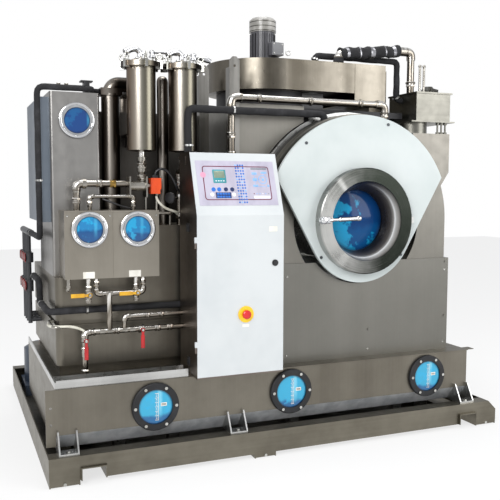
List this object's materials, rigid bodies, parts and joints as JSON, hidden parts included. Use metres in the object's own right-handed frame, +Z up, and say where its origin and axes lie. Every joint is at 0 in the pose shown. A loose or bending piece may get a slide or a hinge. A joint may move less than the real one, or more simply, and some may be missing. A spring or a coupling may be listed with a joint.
{
  "type": "dry cleaning machine",
  "caption": "Industrial front-loading dry cleaning machine with a blue-glass drum door, control cabinet, still, filters and solvent tank on a spill tray.",
  "frame": {"origin": "centre of the bounding box at floor level", "axes": "+X to the right seen from the front, +Y to the back, +Z up"},
  "size_m": [2.79, 2.124, 2.588],
  "materials": {
    "tray_steel": "brushed, oil-stained",
    "bolt_zinc": "zinc plated",
    "tank_steel": "satin, brown-grey",
    "bright_steel": "bright satin",
    "satin_steel": "satin",
    "panel_steel": "fine vertical brushing",
    "duct_steel": "banded brushing",
    "filter_steel": "vertical brushing",
    "column_steel": "vertical brushing",
    "chrome": "polished",
    "pipe_nickel": "nickel plated",
    "drum_steel": "polished stainless",
    "door_steel": "concentric brushing",
    "cabinet_steel": "satin",
    "white_paint": "smooth satin",
    "dark_paint": "matte",
    "green_grey_paint": "satin",
    "motor_paint": "semi-gloss",
    "pump_paint": "semi-gloss",
    "cast_iron": "rough",
    "aluminium": "cast",
    "black_flange": "matte",
    "black_plastic": "satin",
    "blue_glass": "clear over blue fluid",
    "orange_plastic": "moulded",
    "foam_rubber": "soft foam",
    "belt_rubber": "ribbed",
    "seal_rubber": "matte",
    "red_grip": "dipped vinyl",
    "yellow_grip": "dipped vinyl",
    "yellow_collar": "moulded",
    "red_button": "moulded",
    "overlay_film": "printed film",
    "board_plastic": "boards and relays",
    "filter_paper": "pleated paper"
  },
  "bodies": {
    "root": {"spill_tray": "tray_steel", "hex_bolts": "bolt_zinc", "solvent_tank": "tank_steel", "tank_brackets": "bright_steel", "sight_flanges": "black_flange", "sight_windows": "blue_glass", "tank_gutter": "bright_steel", "still_vessel": "tank_steel", "separator_tank": "satin_steel", "chamber_rings": "chrome", "recovery_tank": "satin_steel", "side_casing": "green_grey_paint", "cooling_casing": "dark_paint", "cooler_column": "column_steel", "filter_housings": "filter_steel", "filter_lids": "filter_steel", "filter_cartridges": "filter_paper", "upper_pipes": "pipe_nickel", "lower_pipes": "pipe_nickel", "solenoid_coil": "orange_plastic", "insulated_lines": "foam_rubber", "side_valves": "dark_paint", "frame_posts": "panel_steel", "left_housing": "panel_steel", "tub_front": "panel_steel", "drum_tub": "drum_steel", "tub_neck": "drum_steel", "tub_band": "bright_steel", "front_plate": "white_paint", "lower_panel": "panel_steel", "blower_scroll": "duct_steel", "blower_motor": "motor_paint", "air_duct": "duct_steel", "top_box": "duct_steel", "top_pipes": "pipe_nickel", "bearing_housing": "cast_iron", "drive_motor": "pump_paint", "drive_belt": "belt_rubber", "compressor": "pump_paint", "solvent_pump": "pump_paint", "cabinet_shell": "cabinet_steel", "control_boards": "board_plastic", "door_hinge": "bright_steel"},
    "drum": {"basket": "drum_steel", "drum_pulley": "cast_iron"},
    "motor_pulley": {"motor_pulley": "cast_iron"},
    "impeller": {"blower_impeller": "aluminium"},
    "door": {"door_ring": "door_steel", "door_glass": "blue_glass", "door_seal": "seal_rubber"},
    "handle": {"door_handle": "chrome"},
    "cabinet_door": {"cabinet_door": "white_paint", "control_overlay": "overlay_film", "estop_collar": "yellow_collar"},
    "estop_button": {"estop_button": "red_button"},
    "key_lock": {"key_lock": "black_plastic"},
    "red_lever_left": {"red_lever_left": "red_grip"},
    "red_lever_right": {"red_lever_right": "red_grip"},
    "yellow_lever_left": {"yellow_lever_left": "yellow_grip"},
    "yellow_lever_right": {"yellow_lever_right": "yellow_grip"}
  },
  "joints": [
    {"name": "door_swing", "type": "hinge", "parent": "root", "child": "door", "pos_m": [0.791, -0.93, 1.308], "axis": [0, 0, 1], "range_deg": [0, 105]},
    {"name": "handle_turn", "type": "hinge", "parent": "door", "child": "handle", "pos_m": [0.162, -0.975, 1.318], "axis": [0, -1, 0], "range_deg": [0, 60]},
    {"name": "drum_spin", "type": "hinge", "parent": "root", "child": "drum", "pos_m": [0.465, 0, 1.308], "axis": [0, 1, 0], "continuous": true},
    {"name": "motor_spin", "type": "hinge", "parent": "root", "child": "motor_pulley", "pos_m": [0.9, 0.265, 0.6], "axis": [0, 1, 0], "continuous": true},
    {"name": "impeller_spin", "type": "hinge", "parent": "root", "child": "impeller", "pos_m": [0.1, -0.25, 2.2], "axis": [0, 0, 1], "continuous": true},
    {"name": "cabinet_door_swing", "type": "hinge", "parent": "root", "child": "cabinet_door", "pos_m": [-0.619, -1.029, 1], "axis": [0, 0, -1], "range_deg": [0, 110]},
    {"name": "estop_push", "type": "slide", "parent": "cabinet_door", "child": "estop_button", "axis": [0, 1, 0], "range_m": [0, 0.005]},
    {"name": "key_turn", "type": "hinge", "parent": "cabinet_door", "child": "key_lock", "pos_m": [-0.16, -1.035, 1.091], "axis": [0, 1, 0], "range_deg": [0, 90]},
    {"name": "red_lever_left_turn", "type": "hinge", "parent": "root", "child": "red_lever_left", "pos_m": [-1.16, -0.812, 0.685], "axis": [0, 1, 0], "range_deg": [0, 90]},
    {"name": "red_lever_right_turn", "type": "hinge", "parent": "root", "child": "red_lever_right", "pos_m": [-0.852, -0.812, 0.725], "axis": [0, 1, 0], "range_deg": [0, 90]},
    {"name": "yellow_lever_left_turn", "type": "hinge", "parent": "root", "child": "yellow_lever_left", "pos_m": [-1.136, -0.812, 0.931], "axis": [0, 1, 0], "range_deg": [-90, 0]},
    {"name": "yellow_lever_right_turn", "type": "hinge", "parent": "root", "child": "yellow_lever_right", "pos_m": [-0.878, -0.812, 0.931], "axis": [0, 1, 0], "range_deg": [-90, 0]}
  ],
  "couplings": [
    {"joint": "motor_spin", "follows": "drum_spin", "ratio": 4.7143}
  ]
}
